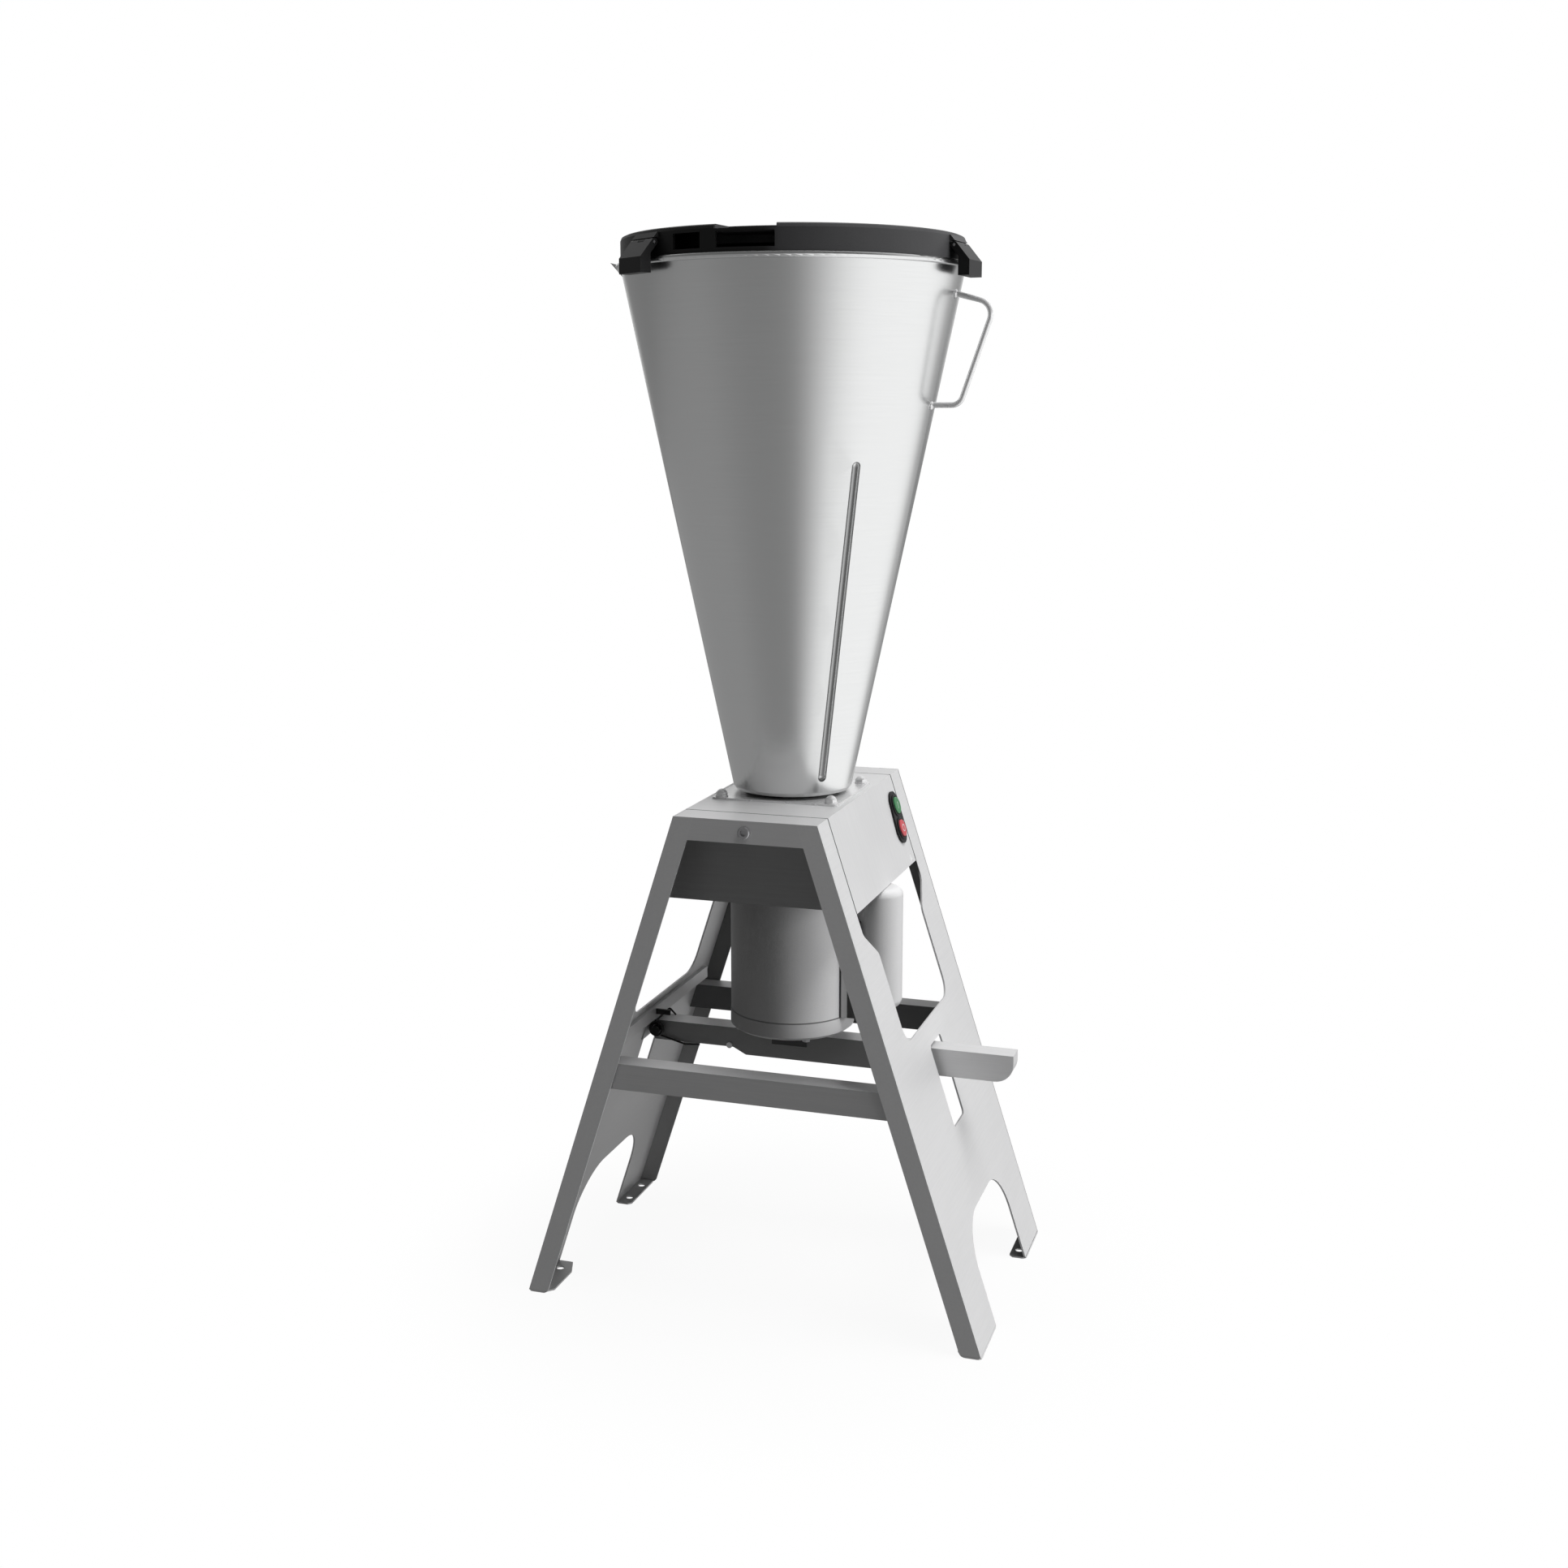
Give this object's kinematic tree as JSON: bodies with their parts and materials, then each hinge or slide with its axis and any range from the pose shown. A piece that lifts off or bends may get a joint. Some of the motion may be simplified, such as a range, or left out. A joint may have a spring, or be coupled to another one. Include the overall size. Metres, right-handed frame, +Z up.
{
  "type": "tilting blender",
  "caption": "Floor-standing tilting food blender: leaning sheet-metal stand, pivoting motor head, tall conical steel cup with lid and spout, side push buttons and a foot pedal latch.",
  "frame": {"origin": "on the floor, in the middle of the four feet flanges", "axes": "+Z up, +X towards the pedal and the handle, +Y towards the rear beam; the spout points along -X"},
  "size_m": [0.5108, 0.3722, 1.1383],
  "materials": {
    "sheet": "satin stainless sheet",
    "cup_steel": "spun and brushed stainless",
    "fastener": "polished stainless",
    "steel": "turned steel",
    "dark_steel": "blackened steel",
    "blade_steel": "ground stainless",
    "motor_grey": "matte grey",
    "copper": "varnished copper wire",
    "bronze": "sintered bronze",
    "capacitor_plastic": "light grey",
    "black_plastic": "black",
    "lid_plastic": "dark grey",
    "rubber": "black",
    "green_plastic": "green",
    "red_plastic": "red"
  },
  "bodies": {
    "stand": {"right_side_plate": "sheet", "left_side_plate": "sheet", "front_top_beam": "sheet", "rear_top_beam": "sheet", "front_crossbar": "sheet", "rear_crossbar": "sheet", "right_plate_rail": "sheet", "left_plate_rail": "sheet", "pivot_bolts": "steel", "pivot_spacers": "steel", "lever_pin": "dark_steel", "lever_bracket": "sheet", "torsion_spring": "dark_steel", "spring_anchor": "dark_steel"},
    "head": {"housing_top": "sheet", "housing_panels": "sheet", "housing_walls": "sheet", "panel_screws": "fastener", "cable_gland": "black_plastic", "switch_bezel": "black_plastic", "switch_block": "black_plastic", "base_plate": "sheet", "mount_studs": "fastener", "stud_washers": "fastener", "dome_nuts": "fastener", "motor_top_flange": "motor_grey", "motor_shell": "motor_grey", "motor_bottom_shield": "motor_grey", "shield_screws": "steel", "motor_bearings": "steel", "stator_core": "dark_steel", "stator_windings": "copper", "capacitor": "capacitor_plastic", "capacitor_saddle": "motor_grey", "latch_striker": "dark_steel", "striker_screws": "steel", "pivot_bushes": "bronze", "cup": "cup_steel", "cup_gasket": "rubber", "cup_bolts": "fastener", "cup_handle": "cup_steel", "shaft_seal": "black_plastic"},
    "rotor": {"motor_shaft": "steel", "rotor_core": "dark_steel", "cooling_fan": "black_plastic", "lower_blade": "blade_steel", "blade_spacer": "steel", "upper_blade": "blade_steel", "blade_nut": "fastener"},
    "lid": {"lid": "lid_plastic", "lid_gasket": "rubber", "clip_pins": "steel"},
    "clip_1": {"lid_clip_1": "lid_plastic"},
    "clip_2": {"lid_clip_2": "lid_plastic"},
    "clip_3": {"lid_clip_3": "lid_plastic"},
    "filler_cap": {"filler_cap": "lid_plastic"},
    "pedal": {"pedal_lever": "sheet", "lever_bolt": "fastener"},
    "start_button": {"start_button": "green_plastic"},
    "stop_button": {"stop_button": "red_plastic"}
  },
  "joints": [
    {"name": "tilt", "type": "hinge", "parent": "stand", "child": "head", "pos_m": [0, 0, 0.538], "axis": [0, -1, 0], "range_deg": [0, 100]},
    {"name": "pedal_press", "type": "hinge", "parent": "stand", "child": "pedal", "pos_m": [-0.15551, 0, 0.2685], "axis": [0, 1, 0], "range_deg": [0, 8], "stiffness_Nm_per_rad": 4, "springref_deg": -34.38, "deforming": ["torsion_spring"]},
    {"name": "rotor_spin", "type": "hinge", "parent": "head", "child": "rotor", "pos_m": [0, 0, 0.42], "axis": [0, 0, 1], "continuous": true},
    {"name": "lid_lift", "type": "slide", "parent": "head", "child": "lid", "axis": [0, 0, 1], "range_m": [0, 0.25]},
    {"name": "clip_1_swing", "type": "hinge", "parent": "lid", "child": "clip_1", "pos_m": [-0.07386, 0.1659, 1.1178], "axis": [0.9135, 0.4067, 0], "range_deg": [0, 45]},
    {"name": "clip_2_swing", "type": "hinge", "parent": "lid", "child": "clip_2", "pos_m": [-0.10674, -0.14692, 1.1178], "axis": [-0.809, 0.5878, 0], "range_deg": [0, 45]},
    {"name": "clip_3_swing", "type": "hinge", "parent": "lid", "child": "clip_3", "pos_m": [0.1806, -0.01898, 1.1178], "axis": [-0.1045, -0.9945, 0], "range_deg": [0, 45]},
    {"name": "cap_lift", "type": "slide", "parent": "lid", "child": "filler_cap", "axis": [0, 0, 1], "range_m": [0, 0.1]},
    {"name": "start_press", "type": "slide", "parent": "head", "child": "start_button", "axis": [-0.9513, 0, -0.3082], "range_m": [0, 0.003], "stiffness_N_per_m": 400},
    {"name": "stop_press", "type": "slide", "parent": "head", "child": "stop_button", "axis": [-0.9513, 0, -0.3082], "range_m": [0, 0.003], "stiffness_N_per_m": 400}
  ]
}
